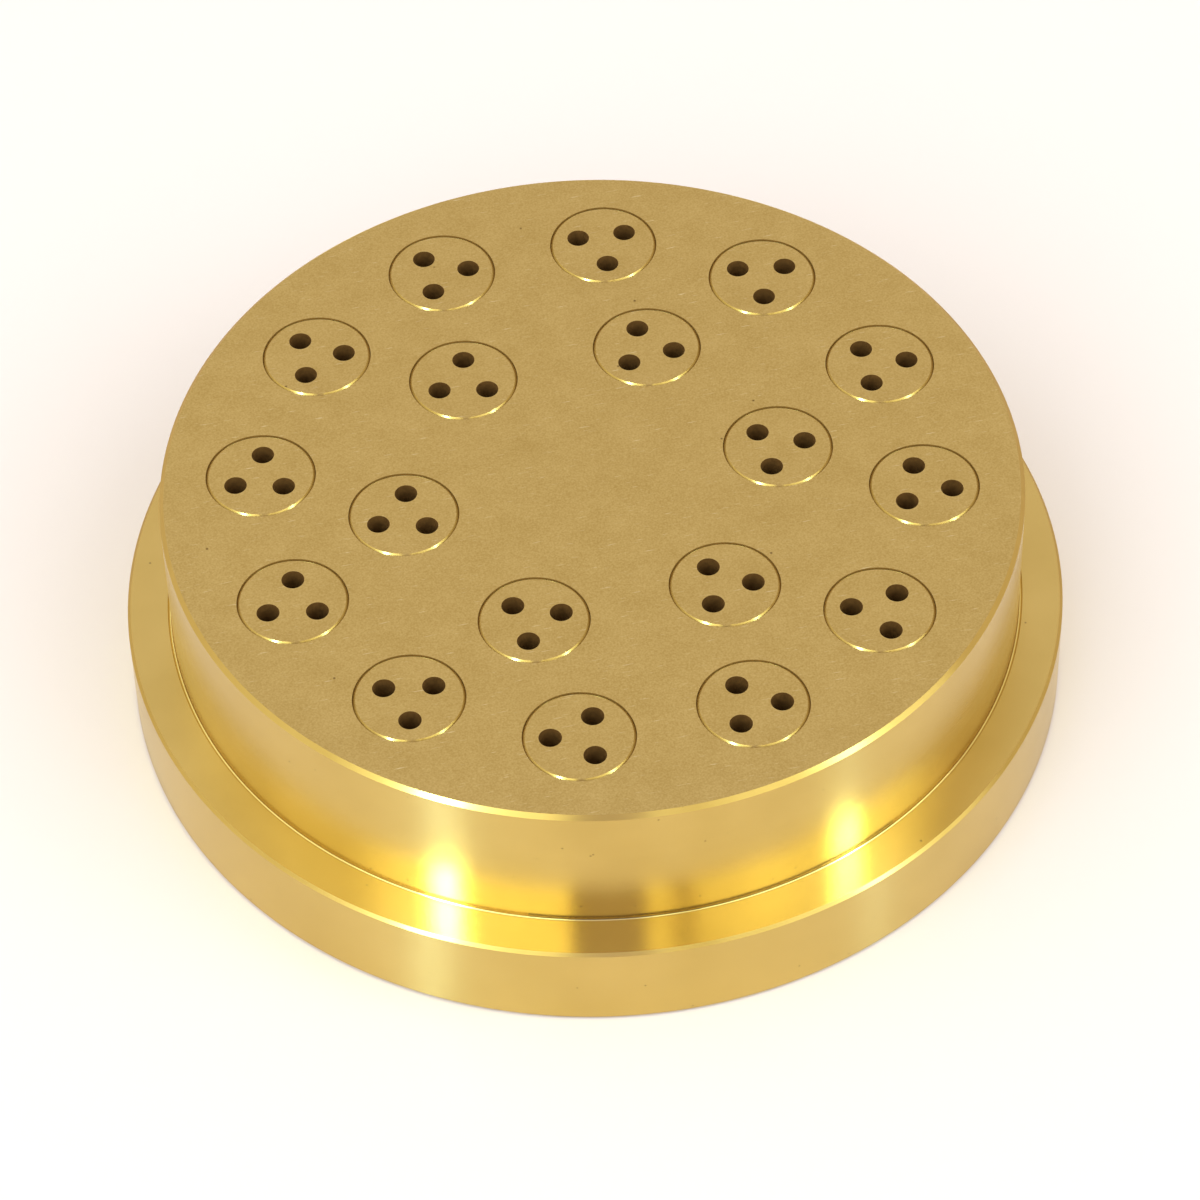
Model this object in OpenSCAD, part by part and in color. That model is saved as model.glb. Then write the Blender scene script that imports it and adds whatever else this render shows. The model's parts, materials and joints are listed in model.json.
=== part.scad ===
// Pasta extrusion die. A turned brass body carries two rings of drilled brass inserts.
// Dough is pressed into the recess at the back (z = 0), through the inserts, and leaves
// as strands at the lapped front face. The die's axis is Z, and the back lies on z = 0.

/* [Body] */
// Diameter of the boss, the raised front of the die
boss_d = 70.7; // [66:0.1:80]
// Height of the boss above the flange
boss_h = 12.7; // [10:0.1:20]
// How far the flange stands out beyond the boss, all round
flange_step = 3.65; // [2:0.05:6]
// Thickness of the flange
flange_h = 8.3; // [6:0.1:12]
// Bevel on the front edge of the boss
boss_bevel = 0.35; // [0.1:0.05:1]
// Bevel on the outer edges of the flange
flange_bevel = 0.25; // [0.1:0.05:1]
// Radius of the round groove turned in the flange at the foot of the boss
groove_r = 0.15; // [0.05:0.05:0.4]

/* [Feed recess] */
// Depth of the recess in the back, where the dough gathers
recess_depth = 5; // [2:0.1:7]
// Flat floor left between the outer inserts and the recess corner
recess_margin = 0.55; // [0.2:0.05:1]
// Radius of the corner between the recess floor and its wall
recess_fillet = 1; // [0.3:0.1:2]
// Bevel on the mouth of the recess
recess_bevel = 0.4; // [0.1:0.05:1]

/* [Rings of inserts] */
// Inserts in the outer ring
outer_count = 12; // [6:1:14]
// Inserts in the inner ring
inner_count = 6; // [3:1:8]
// Front face left between the outer bores and the edge of the boss
edge_land = 3.7; // [2.5:0.1:6]
// Distance between the two pitch circles
ring_spacing = 11.45; // [11.1:0.05:13]
// Direction of the first outer insert; the first inner one lies along +X
outer_start = 15; // [0:1:30]

/* [Insert] */
// Diameter of the insert's nose, which shows in the front face
insert_d = 9; // [8:0.1:9.4]
// How far the collar at the insert's rear stands out beyond the nose
collar_lip = 0.8; // [0.4:0.05:1]
// Thickness of the collar
collar_h = 3.5; // [2:0.1:6]
// Bevel on the insert's front and rear rims
rim_bevel = 0.22; // [0.05:0.01:0.4]
// Radial clearance between an insert and its bore
fit_gap = 0.02; // [0.01:0.01:0.05]

/* [Strand holes] */
// Strand holes in each insert
hole_count = 3; // [1:1:3]
// Diameter of a strand hole, and so of the pasta
hole_d = 1.85; // [1.5:0.05:2.4]
// Pitch circle of the strand holes
hole_pitch_d = 4.57; // [4:0.01:5]
// Length of the strand holes, which is the thickness of the insert's front wall
land_h = 3.5; // [2:0.1:6]
// Room between the strand holes and the wall of the feed chamber behind them
chamber_room = 0.2; // [0.1:0.05:0.4]
// Bevel on the mouth of the feed chamber
mouth_bevel = 0.4; // [0.1:0.05:0.5]

/* [Hidden] */
$fn = 96;
// Cutters run this far past the faces that they open
past = 1;

boss_r = boss_d / 2;
flange_r = boss_r + flange_step;
die_h = flange_h + boss_h;

bore_r = insert_d / 2 + fit_gap;
collar_r = insert_d / 2 + collar_lip;
counterbore_r = collar_r + fit_gap;
shoulder_z = recess_depth + collar_h;

outer_r = boss_r - edge_land - bore_r;
inner_r = outer_r - ring_spacing;
recess_floor_r = outer_r + counterbore_r + recess_margin;
recess_r = recess_floor_r + recess_fillet;

chamber_r = (hole_pitch_d + hole_d) / 2 + chamber_room;
chamber_top_z = die_h - land_h;

// Turn of each insert in its bore, in whole degrees, as it was pushed in
outer_turns = [118, 20, 26, 0, 116, 75, 79, 20, 50, 111, 38, 97];
inner_turns = [3, 97, 78, 74, 6, 112];

brass = [0.78, 0.64, 0.35];
insert_brass = [0.76, 0.63, 0.37];

function numbered(name, i) = str(name, i < 9 ? "_0" : "_", i + 1);
function turn_of(turns, i) = turns[i % len(turns)];
function ring_angle(start, count, i) = start + i * 360 / count;

outer_names = [for (i = [0 : outer_count - 1]) numbered("outer_insert", i)];
inner_names = [for (i = [0 : inner_count - 1]) numbered("inner_insert", i)];

// Places its children at one station of a ring, with +X there pointing outwards
module at_station(ring_r, angle) {
    rotate([0, 0, angle])
        translate([ring_r, 0, 0])
            children();
}

// Half section of the body without its bores, from the recess floor round to the front face
module body_section() {
    difference() {
        polygon([
            [0, 0],
            [flange_r - flange_bevel, 0],
            [flange_r, flange_bevel],
            [flange_r, flange_h - flange_bevel],
            [flange_r - flange_bevel, flange_h],
            [boss_r, flange_h],
            [boss_r, die_h - boss_bevel],
            [boss_r - boss_bevel, die_h],
            [0, die_h]
        ]);
        recess_section();
        translate([boss_r + groove_r, flange_h])
            circle(r = groove_r);
    }
}

// Half section of the feed recess, with its bevelled mouth and rounded corner
module recess_section() {
    translate([0, -past])
        square([recess_floor_r, recess_depth + past]);
    translate([0, -past])
        square([recess_r, recess_depth - recess_fillet + past]);
    translate([recess_floor_r, recess_depth - recess_fillet])
        circle(r = recess_fillet);
    polygon([
        [0, -past],
        [recess_r + recess_bevel + past, -past],
        [recess_r, recess_bevel],
        [0, recess_bevel]
    ]);
}

// Stepped bore that takes one insert: nose through to the front, collar from the recess
module insert_bore() {
    translate([0, 0, -past])
        cylinder(r = bore_r, h = die_h + 2 * past);
    translate([0, 0, -past])
        cylinder(r = counterbore_r, h = shoulder_z + past);
}

module die_body() {
    color(brass)
        difference() {
            rotate_extrude()
                body_section();
            for (i = [0 : outer_count - 1])
                at_station(outer_r, ring_angle(outer_start, outer_count, i))
                    insert_bore();
            for (i = [0 : inner_count - 1])
                at_station(inner_r, ring_angle(0, inner_count, i))
                    insert_bore();
        }
}

// A strand hole through the insert's front wall, from its feed chamber
module strand_hole() {
    translate([0, 0, chamber_top_z - past])
        cylinder(d = hole_d, h = land_h + 2 * past);
}

// Half section of an insert: the feed chamber opens to the rear, the collar seats on the
// bore's shoulder, and the nose ends level with the front face
module insert_section() {
    nose_r = insert_d / 2;
    polygon([
        [0, chamber_top_z],
        [chamber_r, chamber_top_z],
        [chamber_r, recess_depth + mouth_bevel],
        [chamber_r + mouth_bevel, recess_depth],
        [collar_r - rim_bevel, recess_depth],
        [collar_r, recess_depth + rim_bevel],
        [collar_r, shoulder_z],
        [nose_r, shoulder_z],
        [nose_r, die_h - rim_bevel],
        [nose_r - rim_bevel, die_h],
        [0, die_h]
    ]);
}

// A turned and drilled insert on the Z axis, turned so that one hole points to the given side
module insert(turn) {
    color(insert_brass)
        difference() {
            rotate_extrude()
                insert_section();
            for (i = [0 : hole_count - 1])
                at_station(hole_pitch_d / 2, turn + i * 360 / hole_count)
                    strand_hole();
        }
}

// The turns are measured from +X of the die, so the station's own angle is taken off
module ring_insert(ring_r, angle, turn) {
    at_station(ring_r, angle)
        insert(turn - angle);
}

module outer_insert(i) {
    ring_insert(outer_r, ring_angle(outer_start, outer_count, i), turn_of(outer_turns, i));
}

module inner_insert(i) {
    ring_insert(inner_r, ring_angle(0, inner_count, i), turn_of(inner_turns, i));
}

die_body();
for (i = [0 : outer_count - 1])
    outer_insert(i);
for (i = [0 : inner_count - 1])
    inner_insert(i);
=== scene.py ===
import json
import math

import bpy
from mathutils import Matrix, Vector


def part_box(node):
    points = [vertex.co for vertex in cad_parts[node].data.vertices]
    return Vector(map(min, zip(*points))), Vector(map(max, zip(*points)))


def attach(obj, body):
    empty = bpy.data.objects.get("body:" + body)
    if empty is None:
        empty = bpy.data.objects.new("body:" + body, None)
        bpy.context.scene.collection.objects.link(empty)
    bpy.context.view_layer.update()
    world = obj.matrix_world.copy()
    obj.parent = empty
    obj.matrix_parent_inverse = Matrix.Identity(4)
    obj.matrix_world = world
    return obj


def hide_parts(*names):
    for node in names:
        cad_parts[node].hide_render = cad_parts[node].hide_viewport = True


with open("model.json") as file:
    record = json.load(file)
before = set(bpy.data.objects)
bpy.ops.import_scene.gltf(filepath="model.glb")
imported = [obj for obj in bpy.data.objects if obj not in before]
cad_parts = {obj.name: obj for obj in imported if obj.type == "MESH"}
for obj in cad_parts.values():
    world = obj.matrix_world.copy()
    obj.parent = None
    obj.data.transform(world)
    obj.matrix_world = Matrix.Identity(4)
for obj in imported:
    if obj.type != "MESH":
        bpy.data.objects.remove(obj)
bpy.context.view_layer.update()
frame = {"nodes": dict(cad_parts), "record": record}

# Die body
# One piece of brass, turned on a lathe: a boss on a wider flange, a fine groove at the foot of the
# boss and a feed recess in the back. It is then bored through for the inserts, and its front face
# is lapped flat together with them.

MM = 0.001
mounts = {mount["name"]: mount for mount in frame["record"]["mounts"]}
flange_r = mounts["flange_rim"]["dims"]["r_mm"] * MM
boss_r = mounts["boss_spigot"]["dims"]["r_mm"] * MM
step_z = mounts["clamp_step"]["pos_m"][2]
face_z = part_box("die_body")[1].z
boss_bevel = 0.35 * MM
flange_bevel = 0.25 * MM
groove_r = 0.15 * MM
groove_steps = 12
wall_foot_h = 0.05 * MM  # a ring of points just above the groove keeps the wall's shading even
recess_r = 34 * MM
recess_fillet = 1 * MM
fillet_steps = 8
recess_bevel = 0.4 * MM
body_steps = 384
bore_steps = 96

inserts = sorted(name for name in frame["nodes"] if "insert" in name)
stations = {name: sum(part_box(name), Vector()) / 2 for name in inserts}
recess_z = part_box(inserts[0])[0].z
insert_r = 4.5 * MM
collar_r = 5.3 * MM
collar_h = 3.5 * MM
fit_gap = 0.02 * MM
past = 1 * MM


def linear(hex_colour):
    """Linear RGBA of an sRGB hex colour such as C8A050."""
    parts = [int(hex_colour[i : i + 2], 16) / 255 for i in (0, 2, 4)]
    return [p / 12.92 if p <= 0.04045 else ((p + 0.055) / 1.055) ** 2.4 for p in parts] + [1.0]


def add(tree, kind, inputs=None, **settings):
    """Adds a node; inputs maps a socket's name or number to a value or to another node's output."""
    made = tree.nodes.new(kind)
    for name, value in settings.items():
        setattr(made, name, value)
    for key, value in (inputs or {}).items():
        if isinstance(value, bpy.types.NodeSocket):
            tree.links.new(value, made.inputs[key])
        else:
            made.inputs[key].default_value = value
    return made


def new_material(name):
    """An empty material and its node tree."""
    material = bpy.data.materials.new(name)
    material.use_nodes = True
    material.node_tree.nodes.clear()
    return material, material.node_tree


# Turned brass keeps the tool's rings. They are too fine to be seen singly, but they spread a
# reflection across them and hardly along them, so a lamp shows on a wall as an upright streak. It has
# a few dark pits. Broken edges were rubbed over after turning, and are duller and browner.
def make_turned_brass(name, dark, pale, roughness):
    material, tree = new_material(name)
    ring_pitch = 0.025 * MM
    ring_drift = 0.15 * MM
    ring_height = 0.0006 * MM
    band_width = 1.6 * MM
    cloud_size = 9 * MM
    pit_spacing = 2 * MM
    least, most = roughness
    place = add(tree, "ShaderNodeTexCoord").outputs["Object"]
    split = add(tree, "ShaderNodeSeparateXYZ", {0: place}).outputs
    flat = add(tree, "ShaderNodeCombineXYZ", {"X": split["X"], "Y": split["Y"]}).outputs[0]
    radius = add(tree, "ShaderNodeVectorMath", {0: flat}, operation="LENGTH").outputs["Value"]
    angle = add(tree, "ShaderNodeMath", {0: split["Y"], 1: split["X"]}, operation="ARCTAN2").outputs[0]
    drift = add(tree, "ShaderNodeMath", {0: angle, 1: ring_drift}, operation="MULTIPLY").outputs[0]
    rings = add(tree, "ShaderNodeCombineXYZ", {"X": radius, "Y": drift, "Z": split["Z"]}).outputs[0]
    fine = add(
        tree, "ShaderNodeTexNoise", {"Vector": rings, "Scale": 1 / ring_pitch, "Detail": 2.0}
    ).outputs[0]
    bands = add(
        tree, "ShaderNodeTexNoise", {"Vector": rings, "Scale": 1 / band_width, "Detail": 3.0}
    ).outputs[0]
    cloud = add(
        tree, "ShaderNodeTexNoise", {"Vector": place, "Scale": 1 / cloud_size, "Detail": 3.0}
    ).outputs[0]
    tone = add(tree, "ShaderNodeMapRange", {0: cloud, 1: 0.35, 2: 0.65}).outputs[0]
    clean = add(
        tree, "ShaderNodeMix", {0: tone, 6: linear(dark), 7: linear(pale)}, data_type="RGBA"
    ).outputs[2]
    away = add(
        tree, "ShaderNodeTexVoronoi", {"Vector": place, "Scale": 1 / pit_spacing}
    ).outputs["Distance"]
    pit = add(tree, "ShaderNodeMapRange", {0: away, 1: 0.03, 2: 0.06, 3: 0.5, 4: 0.0}).outputs[0]
    colour = add(
        tree, "ShaderNodeMix", {0: pit, 6: clean, 7: linear("3A2410")}, data_type="RGBA"
    ).outputs[2]
    rough = add(tree, "ShaderNodeMapRange", {0: bands, 1: 0.3, 2: 0.7, 3: least, 4: most}).outputs[0]
    bump = add(
        tree, "ShaderNodeBump", {"Strength": 1.0, "Distance": ring_height, "Height": fine}
    ).outputs[0]
    turning = add(tree, "ShaderNodeAttribute", attribute_name="turning").outputs["Vector"]
    surface = add(
        tree,
        "ShaderNodeBsdfPrincipled",
        {
            "Base Color": colour,
            "Metallic": 1.0,
            "Roughness": rough,
            "Anisotropic": 1.0,
            "Anisotropic Rotation": 0.25,
            "Normal": bump,
            "Tangent": turning,
        },
    ).outputs[0]
    add(tree, "ShaderNodeOutputMaterial", {"Surface": surface})
    return material


# Lapped brass was rubbed flat on abrasive paper: an even satin with a fine grain, short light scratches
# that mostly run one way, and a few dark pits. The grain is drawn coarser than real grit, to show.
def make_lapped_brass():
    material, tree = new_material("lapped_brass")
    grit = 0.16 * MM
    grain_depth = 0.02 * MM
    mottle_size = 3 * MM
    scratch_length = 1.6 * MM
    scratch_width = 0.14 * MM
    lay = math.radians(-12)
    pit_spacing = 5 * MM
    place = add(tree, "ShaderNodeTexCoord").outputs["Object"]
    grain = add(
        tree, "ShaderNodeTexNoise", {"Vector": place, "Scale": 1 / grit, "Detail": 2.0}
    ).outputs[0]
    mottle = add(
        tree, "ShaderNodeTexNoise", {"Vector": place, "Scale": 1 / mottle_size, "Detail": 4.0}
    ).outputs[0]
    along = add(
        tree,
        "ShaderNodeMapping",
        {
            "Vector": place,
            "Rotation": (0, 0, -lay),
            "Scale": (1 / scratch_length, 1 / scratch_width, 1.0),
        },
    ).outputs[0]
    streaks = add(tree, "ShaderNodeTexNoise", {"Vector": along, "Scale": 1.0, "Detail": 2.0}).outputs[0]
    scratch = add(tree, "ShaderNodeMapRange", {0: streaks, 1: 0.66, 2: 0.78}).outputs[0]
    cover = add(tree, "ShaderNodeMix", {0: 0.68, 2: mottle, 3: grain}, data_type="FLOAT").outputs[0]
    tone = add(tree, "ShaderNodeMapRange", {0: cover, 1: 0.3, 2: 0.7}).outputs[0]
    base = add(
        tree, "ShaderNodeMix", {0: tone, 6: linear("B3934F"), 7: linear("C9AA66")}, data_type="RGBA"
    ).outputs[2]
    light = add(tree, "ShaderNodeMath", {0: scratch, 1: 0.55}, operation="MULTIPLY").outputs[0]
    rubbed = add(
        tree, "ShaderNodeMix", {0: light, 6: base, 7: linear("F0DCA8")}, data_type="RGBA"
    ).outputs[2]
    away = add(
        tree, "ShaderNodeTexVoronoi", {"Vector": place, "Scale": 1 / pit_spacing}
    ).outputs["Distance"]
    pit = add(tree, "ShaderNodeMapRange", {0: away, 1: 0.012, 2: 0.028, 3: 0.7, 4: 0.0}).outputs[0]
    colour = add(
        tree, "ShaderNodeMix", {0: pit, 6: rubbed, 7: linear("4C3018")}, data_type="RGBA"
    ).outputs[2]
    rough = add(tree, "ShaderNodeMapRange", {0: grain, 1: 0.3, 2: 0.7, 3: 0.28, 4: 0.36}).outputs[0]
    relief = add(tree, "ShaderNodeMath", {0: grain, 1: scratch}, operation="SUBTRACT").outputs[0]
    bump = add(
        tree, "ShaderNodeBump", {"Strength": 0.12, "Distance": grain_depth, "Height": relief}
    ).outputs[0]
    surface = add(
        tree,
        "ShaderNodeBsdfPrincipled",
        {"Base Color": colour, "Metallic": 1.0, "Roughness": rough, "Normal": bump},
    ).outputs[0]
    add(tree, "ShaderNodeOutputMaterial", {"Surface": surface})
    return material


# Bored and drilled walls are left as the tool cut them. The bore walls are given a dull brown, a
# painted shade that darkens the seam round each insert, and old dough has browned the strand holes much
# darker. Both are matt, and so is the painted shade in the groove.
def make_stain_and_shade_brass(name, dark, pale, metallic):
    material, tree = new_material(name)
    patch_size = 0.5 * MM
    patch_depth = 0.02 * MM
    place = add(tree, "ShaderNodeTexCoord").outputs["Object"]
    patches = add(
        tree, "ShaderNodeTexNoise", {"Vector": place, "Scale": 1 / patch_size, "Detail": 3.0}
    ).outputs[0]
    colour = add(
        tree, "ShaderNodeMix", {0: patches, 6: linear(dark), 7: linear(pale)}, data_type="RGBA"
    ).outputs[2]
    bump = add(
        tree, "ShaderNodeBump", {"Strength": 0.3, "Distance": patch_depth, "Height": patches}
    ).outputs[0]
    surface = add(
        tree,
        "ShaderNodeBsdfPrincipled",
        {
            "Base Color": colour,
            "Metallic": metallic,
            "Roughness": 0.6,
            "Specular IOR Level": 0.0,
            "Normal": bump,
        },
    ).outputs[0]
    add(tree, "ShaderNodeOutputMaterial", {"Surface": surface})
    return material


turned_brass = make_turned_brass("turned_brass", "CBAD61", "D2B468", (0.165, 0.185))
edge_brass = make_turned_brass("edge_brass", "BE9848", "C6A050", (0.33, 0.37))
lapped_brass = make_lapped_brass()
# Painted shade: the bore walls are a darker brown so that the seam round each insert shows dark
bored_brass = make_stain_and_shade_brass("bored_brass", "8A6830", "A07C40", 0.8)
browned_brass = make_stain_and_shade_brass("browned_brass", "523618", "82582A", 0.4)
# Painted shade: a dark matt brown in the front of the groove stands in for the shade in the crease
groove_dirt = make_stain_and_shade_brass("groove_dirt", "3A2410", "5A371A", 0.0)


def arc(centre_r, centre_z, radius, start, end, steps):
    """Points of a round stretch of a half section, from one angle to another, in degrees."""
    turns = [math.radians(start + (end - start) * i / steps) for i in range(steps + 1)]
    return [(centre_r + radius * math.cos(t), centre_z + radius * math.sin(t)) for t in turns]


def point_object(name, points, joined=True):
    """An object that holds points, joined in a line where they are a half section."""
    mesh = bpy.data.meshes.new(name)
    mesh.from_pydata(points, [(i, i + 1) for i in range(len(points) - 1)] if joined else [], [])
    made = bpy.data.objects.new(name, mesh)
    bpy.context.scene.collection.objects.link(made)
    return made


def half_section(name, profile):
    """An object that holds a half section, given as radius and height."""
    return point_object(name, [(r, 0.0, z) for r, z in profile])


def new_tree(name, inputs):
    """A geometry tree with these named inputs, with its input node's outputs and their identifiers."""
    tree = bpy.data.node_groups.new(name, "GeometryNodeTree")
    identifiers = {}
    for label, kind in inputs.items():
        made = tree.interface.new_socket(label, in_out="INPUT", socket_type="NodeSocket" + kind)
        identifiers[label] = made.identifier
    tree.interface.new_socket("Solid", in_out="OUTPUT", socket_type="NodeSocketGeometry")
    return tree, add(tree, "NodeGroupInput").outputs, identifiers


# Turning: the section's points are swept round Z on a grid, whose seam and poles are then closed
def make_lathe():
    seam_gap = 1e-7
    tree, given, _ = new_tree("turn_on_lathe", {"Section": "Geometry", "Steps": "Int"})
    rows = add(
        tree, "GeometryNodeAttributeDomainSize", {"Geometry": given["Section"]}, component="MESH"
    ).outputs["Point Count"]
    columns = add(tree, "ShaderNodeMath", {0: given["Steps"], 1: 1.0}, operation="ADD").outputs[0]
    grid = add(
        tree, "GeometryNodeMeshGrid", {"Vertices X": columns, "Vertices Y": rows}
    ).outputs["Mesh"]
    index = add(tree, "GeometryNodeInputIndex").outputs[0]
    row = add(tree, "ShaderNodeMath", {0: index, 1: rows}, operation="MODULO").outputs[0]
    share = add(tree, "ShaderNodeMath", {0: index, 1: rows}, operation="DIVIDE").outputs[0]
    column = add(tree, "ShaderNodeMath", {0: share}, operation="FLOOR").outputs[0]
    part = add(tree, "ShaderNodeMath", {0: column, 1: given["Steps"]}, operation="DIVIDE").outputs[0]
    angle = add(tree, "ShaderNodeMath", {0: part, 1: math.tau}, operation="MULTIPLY").outputs[0]
    place = add(tree, "GeometryNodeInputPosition").outputs[0]
    point = add(
        tree,
        "GeometryNodeSampleIndex",
        {"Geometry": given["Section"], "Value": place, "Index": row},
        data_type="FLOAT_VECTOR",
    ).outputs["Value"]
    swept = add(
        tree, "ShaderNodeVectorRotate", {"Vector": point, "Angle": angle}, rotation_type="Z_AXIS"
    ).outputs[0]
    sheet = add(tree, "GeometryNodeSetPosition", {"Geometry": grid, "Position": swept}).outputs[0]
    solid = add(
        tree, "GeometryNodeMergeByDistance", {"Geometry": sheet, "Distance": seam_gap}
    ).outputs[0]
    add(tree, "NodeGroupOutput", {"Solid": solid})
    return tree


# Turning and cutting: a turned blank loses the shape of a turned tool at each station. Edges that
# bend sharply stay crisp, the direction of turning is stored for the finish, broken edges are those
# faces that lean at 45 degrees, and the front is lapped.
def make_turn_and_cut(lathe):
    inputs = {
        "Section": "Geometry",
        "Steps": "Int",
        "Tool": "Object",
        "Tool Steps": "Int",
        "Stations": "Object",
        "Front Height": "Float",
        "Place": "Vector",
        "Turned": "Material",
        "Edge": "Material",
        "Cut": "Material",
        "Lapped": "Material",
    }
    sharp_bend = math.radians(25)
    broken_lean = math.sqrt(0.5)
    lean_slack = 0.02
    front_slack = 0.01 * MM
    tree, given, identifiers = new_tree("turn_and_cut", inputs)
    bare_blank = add(
        tree,
        "GeometryNodeGroup",
        {"Section": given["Section"], "Steps": given["Steps"]},
        node_tree=lathe,
    ).outputs[0]
    blank = add(
        tree, "GeometryNodeSetMaterial", {"Geometry": bare_blank, "Material": given["Turned"]}
    ).outputs[0]
    profile = add(tree, "GeometryNodeObjectInfo", {"Object": given["Tool"]}).outputs["Geometry"]
    bare_tool = add(
        tree, "GeometryNodeGroup", {"Section": profile, "Steps": given["Tool Steps"]}, node_tree=lathe
    ).outputs[0]
    tool = add(
        tree, "GeometryNodeSetMaterial", {"Geometry": bare_tool, "Material": given["Cut"]}
    ).outputs[0]
    points = add(tree, "GeometryNodeObjectInfo", {"Object": given["Stations"]}).outputs["Geometry"]
    tools = add(tree, "GeometryNodeInstanceOnPoints", {"Points": points, "Instance": tool}).outputs[0]
    cutters = add(tree, "GeometryNodeRealizeInstances", {"Geometry": tools}).outputs[0]
    solid = add(
        tree,
        "GeometryNodeMeshBoolean",
        {"Mesh 1": blank, "Mesh 2": cutters},
        operation="DIFFERENCE",
        solver="EXACT",
    ).outputs["Mesh"]
    smooth = add(tree, "GeometryNodeSetShadeSmooth", {"Geometry": solid}).outputs[0]
    bend = add(tree, "GeometryNodeInputMeshEdgeAngle").outputs["Unsigned Angle"]
    sharp = add(
        tree, "FunctionNodeCompare", {0: bend, 1: sharp_bend}, operation="GREATER_THAN"
    ).outputs[0]
    crisp = add(
        tree,
        "GeometryNodeSetShadeSmooth",
        {"Geometry": smooth, "Selection": sharp, "Shade Smooth": False},
        domain="EDGE",
    ).outputs[0]
    place = add(tree, "GeometryNodeInputPosition").outputs[0]
    around = add(
        tree, "ShaderNodeVectorMath", {0: (0, 0, 1), 1: place}, operation="CROSS_PRODUCT"
    ).outputs[0]
    tagged = add(
        tree,
        "GeometryNodeStoreNamedAttribute",
        {"Geometry": crisp, "Name": "turning", "Value": around},
        data_type="FLOAT_VECTOR",
    ).outputs[0]
    placed = add(
        tree, "GeometryNodeTransform", {"Geometry": tagged, "Translation": given["Place"]}
    ).outputs[0]
    real = add(tree, "GeometryNodeRealizeInstances", {"Geometry": placed}).outputs[0]
    normal = add(tree, "GeometryNodeInputNormal").outputs[0]
    rise = add(tree, "ShaderNodeSeparateXYZ", {0: normal}).outputs["Z"]
    lean = add(tree, "ShaderNodeMath", {0: rise}, operation="ABSOLUTE").outputs[0]
    broken = add(
        tree, "FunctionNodeCompare", {0: lean, 1: broken_lean, "Epsilon": lean_slack}, operation="EQUAL"
    ).outputs[0]
    edged = add(
        tree,
        "GeometryNodeSetMaterial",
        {"Geometry": real, "Selection": broken, "Material": given["Edge"]},
    ).outputs[0]
    height = add(tree, "ShaderNodeSeparateXYZ", {0: place}).outputs["Z"]
    nearly = add(
        tree, "ShaderNodeMath", {0: given["Front Height"], 1: front_slack}, operation="SUBTRACT"
    ).outputs[0]
    front = add(
        tree, "FunctionNodeCompare", {0: height, 1: nearly}, operation="GREATER_THAN"
    ).outputs[0]
    dressed = add(
        tree,
        "GeometryNodeSetMaterial",
        {"Geometry": edged, "Selection": front, "Material": given["Lapped"]},
    ).outputs[0]
    add(tree, "NodeGroupOutput", {"Solid": dressed})
    return tree, identifiers


turn_and_cut, turn_and_cut_inputs = make_turn_and_cut(make_lathe())


def run_tree(piece, values):
    """Turns and cuts a piece from its half section, and keeps the result as its own plain mesh."""
    modifier = piece.modifiers.new("turning", "NODES")
    modifier.node_group = turn_and_cut
    for label, value in values.items():
        modifier[turn_and_cut_inputs[label]] = value
    graph = bpy.context.evaluated_depsgraph_get()
    mesh = bpy.data.meshes.new_from_object(piece.evaluated_get(graph), depsgraph=graph)
    piece.modifiers.remove(modifier)
    piece.data = mesh
    mesh.name = piece.name
    mesh.materials.pop(index=0)  # the tree leaves its first slot empty


body_profile = (
    [(0.0, recess_z)]
    + arc(recess_r - recess_fillet, recess_z - recess_fillet, recess_fillet, 90, 0, fillet_steps)
    + [
        (recess_r, recess_bevel),
        (recess_r + recess_bevel, 0.0),
        (flange_r - flange_bevel, 0.0),
        (flange_r, flange_bevel),
        (flange_r, step_z - flange_bevel),
        (flange_r - flange_bevel, step_z),
    ]
    + arc(boss_r + groove_r, step_z, groove_r, 0, -180, groove_steps)
    + [
        (boss_r, step_z + wall_foot_h),
        (boss_r, face_z - boss_bevel),
        (boss_r - boss_bevel, face_z),
        (0.0, face_z),
    ]
)
bore_profile = [
    (0.0, -past),
    (collar_r + fit_gap, -past),
    (collar_r + fit_gap, recess_z + collar_h),
    (insert_r + fit_gap, recess_z + collar_h),
    (insert_r + fit_gap, face_z + past),
    (0.0, face_z + past),
]
boring_tool = half_section("boring_tool", bore_profile)
bore_places = [(place.x, place.y, 0.0) for place in stations.values()]
bore_stations = point_object("bore_stations", bore_places, joined=False)
die_body = half_section("turned_die_body", body_profile)
run_tree(
    die_body,
    {
        "Steps": body_steps,
        "Tool": boring_tool,
        "Tool Steps": bore_steps,
        "Stations": bore_stations,
        "Front Height": face_z,
        "Turned": turned_brass,
        "Edge": edge_brass,
        "Cut": bored_brass,
        "Lapped": lapped_brass,
    },
)
# A painted shade lies in the front of the groove, on its outer side: a dark matt brown for the shade in
# the crease. The sides that it reaches to are in degrees from -Y, and its reach across is in radii of
# the groove, from the boss.
shade_sides = (-22, 30)
shade_across = (1.4, 2)
die_body.data.materials.append(groove_dirt)
for face in die_body.data.polygons:
    side = math.degrees(math.atan2(face.center.x, -face.center.y))
    across = (face.center.xy.length - boss_r) / groove_r
    in_groove = face.center.z < step_z and shade_across[0] < across < shade_across[1]
    if in_groove and shade_sides[0] < side < shade_sides[1]:
        face.material_index = len(die_body.data.materials) - 1
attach(die_body, "root")
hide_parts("die_body")

# Inserts
# Small brass cups, turned with a collar at the rear and a broken edge at the front, drilled for three
# strands and pushed in from the back until the collar seats. Each lies at its own chance turn.

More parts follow.
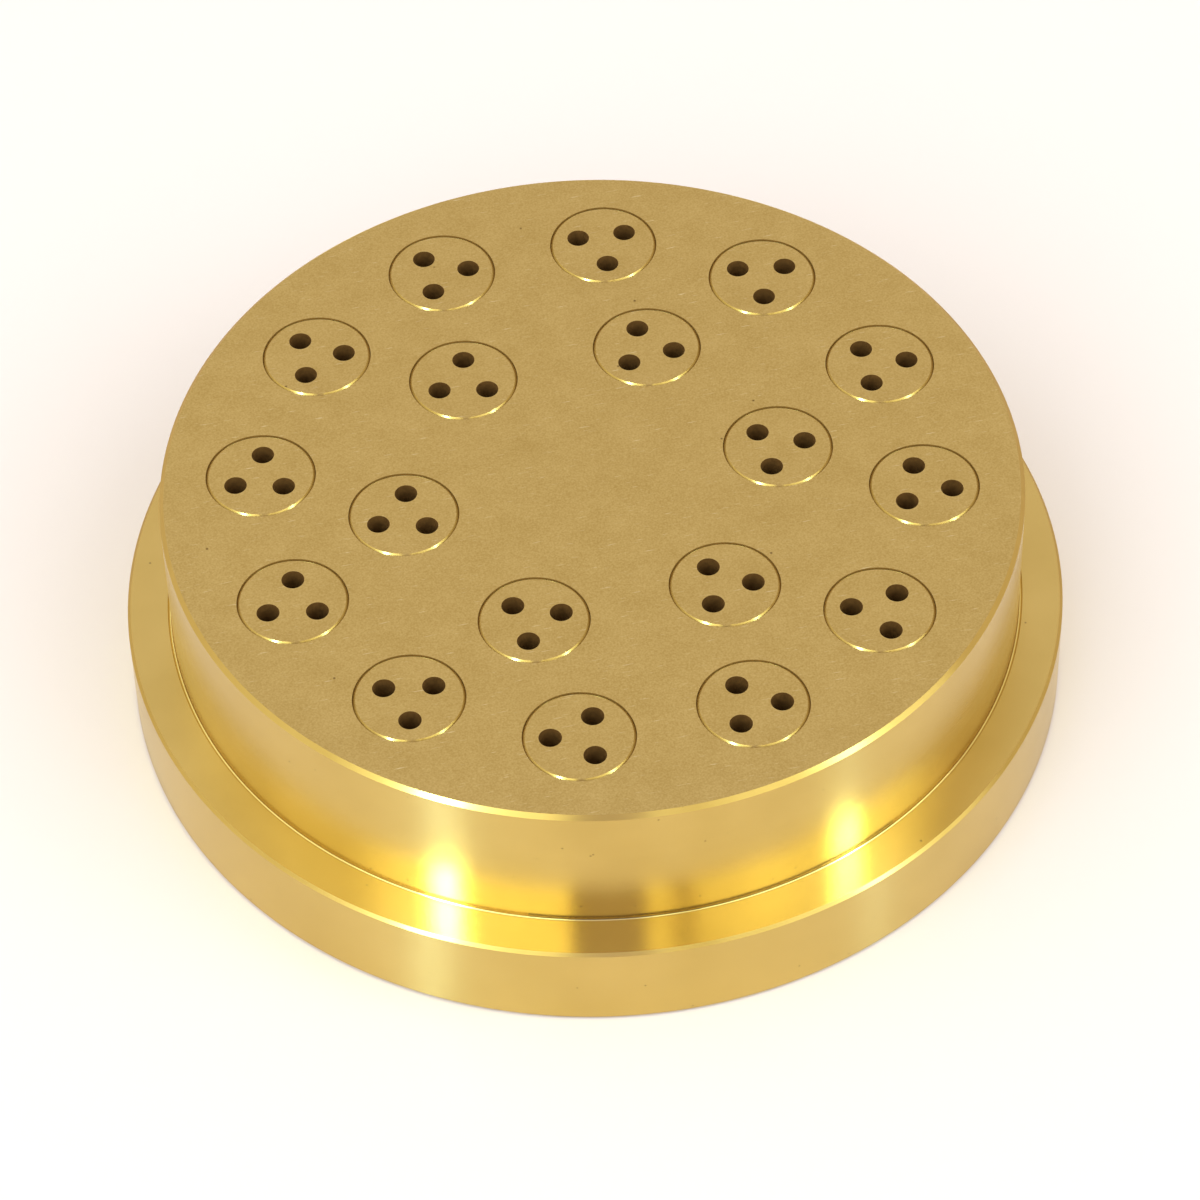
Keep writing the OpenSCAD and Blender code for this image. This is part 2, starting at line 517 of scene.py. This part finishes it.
rim_bevel = 0.22 * MM
hole_r = 1.85 / 2 * MM
hole_circle_r = 4.57 / 2 * MM
hole_count = 3
land_h = 3.5 * MM
chamber_room = 0.2 * MM
chamber_r = hole_circle_r + hole_r + chamber_room
mouth_bevel = 0.4 * MM
insert_steps = 128
hole_steps = 64
turns = {  # in degrees, in the order of the inserts' numbers
    "outer": [118, 20, 26, 0, 116, 75, 79, 20, 50, 111, 38, 97],
    "inner": [3, 97, 78, 74, 6, 112],
}

insert_profile = [
    (0.0, face_z - land_h),
    (chamber_r, face_z - land_h),
    (chamber_r, recess_z + mouth_bevel),
    (chamber_r + mouth_bevel, recess_z),
    (collar_r - rim_bevel, recess_z),
    (collar_r, recess_z + rim_bevel),
    (collar_r, recess_z + collar_h),
    (insert_r, recess_z + collar_h),
    (insert_r, face_z - rim_bevel),
    (insert_r - rim_bevel, face_z),
    (0.0, face_z),
]
drill_profile = [
    (0.0, face_z - land_h - past),
    (hole_r, face_z - land_h - past),
    (hole_r, face_z + past),
    (0.0, face_z + past),
]
drill = half_section("drill", drill_profile)

for name in inserts:
    ring, number = name.split("_insert_")
    turn = turns[ring][int(number) - 1]
    ways = [math.radians(turn + i * 360 / hole_count) for i in range(hole_count)]
    holes = [(hole_circle_r * math.cos(way), hole_circle_r * math.sin(way), 0.0) for way in ways]
    hole_stations = point_object("hole_stations", holes, joined=False)
    insert = half_section("drilled_" + name, insert_profile)
    run_tree(
        insert,
        {
            "Steps": insert_steps,
            "Tool": drill,
            "Tool Steps": hole_steps,
            "Stations": hole_stations,
            "Front Height": face_z,
            "Place": (stations[name].x, stations[name].y, 0.0),
            "Turned": turned_brass,
            "Edge": edge_brass,
            "Cut": browned_brass,
            "Lapped": lapped_brass,
        },
    )
    bpy.data.objects.remove(hole_stations)
    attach(insert, "root")
    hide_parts(name)

for helper in (boring_tool, bore_stations, drill):
    bpy.data.objects.remove(helper)

# Camera
# It looks down on the drilled face from the front, through a long lens.

camera_azimuth = -11.85
camera_elevation = 48.93
camera_roll = math.radians(-1.53)
camera_distance = 415.7 * MM
aim = Vector((-2.27 * MM, -12.81 * MM, face_z))


def toward(azimuth, elevation):
    """Unit vector from the die towards a direction, in degrees; azimuth 0 is the side of -Y."""
    a, e = math.radians(azimuth), math.radians(elevation)
    return Vector((math.sin(a) * math.cos(e), -math.cos(a) * math.cos(e), math.sin(e)))


back = toward(camera_azimuth, camera_elevation)
level = Vector((0, 0, 1)).cross(back).normalized()
upright = back.cross(level)
right = level * math.cos(camera_roll) + upright * math.sin(camera_roll)
up = back.cross(right)
lens = bpy.data.cameras.new("camera")
lens.sensor_width = 36
lens.lens = 155.8
camera = bpy.data.objects.new("camera", lens)
bpy.context.scene.collection.objects.link(camera)
camera_turn = Matrix((right, up, back)).transposed().to_4x4()
camera.matrix_world = Matrix.Translation(aim + back * camera_distance) @ camera_turn
bpy.context.scene.camera = camera

# Floor and light
# A pale paper floor in a soft, even room. Upright soft panels stand round the die with gaps between
# them, and two small lamps stand farther off, in front of it. The die mirrors the gap at the camera
# as a dark band on its front.

floor_half = 3.0
# Uncoated paper gives a plain pale ground with hardly any sheen
paper, paper_tree = new_material("pale_paper")
paper_surface = add(
    paper_tree,
    "ShaderNodeBsdfPrincipled",
    {"Base Color": linear("D8C6B7"), "Roughness": 0.2, "Specular IOR Level": 0.1},
).outputs[0]
add(paper_tree, "ShaderNodeOutputMaterial", {"Surface": paper_surface})
corners = [(x * floor_half, y * floor_half, 0) for x, y in ((-1, -1), (1, -1), (1, 1), (-1, 1))]
floor_mesh = bpy.data.meshes.new("floor")
floor_mesh.from_pydata(corners, [], [(0, 1, 2, 3)])
floor_mesh.materials.append(paper)
floor = bpy.data.objects.new("floor", floor_mesh)
bpy.context.scene.collection.objects.link(floor)

world = bpy.data.worlds.new("room")
world.use_nodes = True
room_light = world.node_tree.nodes["Background"].inputs
room_light["Color"].default_value = linear("EDE8EA")
room_light["Strength"].default_value = 1.1
bpy.context.scene.world = world
bpy.context.scene.view_settings.view_transform = "Standard"


def add_panel(name, distance, sides, heights, glow, colour):
    """An upright soft panel that faces the die. The sides that it reaches to are in degrees from the
    camera's side, its heights are elevations, and glow is its radiance."""
    start, end = sides
    bottom, top = [distance * math.tan(math.radians(h)) for h in heights]
    facing = toward(camera_azimuth + (start + end) / 2, 0)
    data = bpy.data.lights.new(name, "AREA")
    data.shape = "RECTANGLE"
    data.size = 2 * distance * math.tan(math.radians(end - start) / 2)
    data.size_y = top - bottom
    data.color = linear(colour)[:3]
    data.energy = glow * math.pi * data.size * data.size_y
    panel = bpy.data.objects.new(name, data)
    bpy.context.scene.collection.objects.link(panel)
    panel.location = facing * distance + Vector((0, 0, (bottom + top) / 2))
    panel.rotation_mode = "QUATERNION"
    panel.rotation_quaternion = facing.to_track_quat("Z", "Y")
    panel.visible_camera = False
    return panel


panel_distance = 0.6
panel_heights = (22, 66)
panel_colour = "CCEAFF"
lamp_distance = 0.8
lamp_colour = "A8D4FF"
panels = {  # the sides that each reaches to, and its glow
    "left_far_panel": ((-150, -100), 1.0),
    "left_side_panel": ((-99, -62), 1.6),
    "left_panel": ((-61, -8.5), 4.4),
    "right_near_panel": ((11.3, 18.8), 3.0),
    "right_panel": ((22.8, 36.5), 2.6),
    "right_bright_panel": ((36.5, 54.8), 3.6),
    "right_far_panel": ((59.2, 80), 4.4),
    "right_side_panel": ((80, 90), 4.4),
    "right_outer_panel": ((97, 150), 0.45),
}
for name, (sides, glow) in panels.items():
    add_panel(name, panel_distance, sides, panel_heights, glow, panel_colour)

# The lamps, and a faint blue panel in the gap at the camera, only glint in the brass, so they throw
# no hard shadow and no tint on the paper
glints = [
    add_panel("camera_side_panel", panel_distance, (-8.5, 11.3), panel_heights, 1.2, "0065FF"),
    add_panel("left_lamp", lamp_distance, (-45.3, -38.8), (43, 55), 340, lamp_colour),
    add_panel("right_lamp", lamp_distance, (67.5, 69.5), (44, 54), 520, lamp_colour),
]
for glint in glints:
    glint.visible_diffuse = False
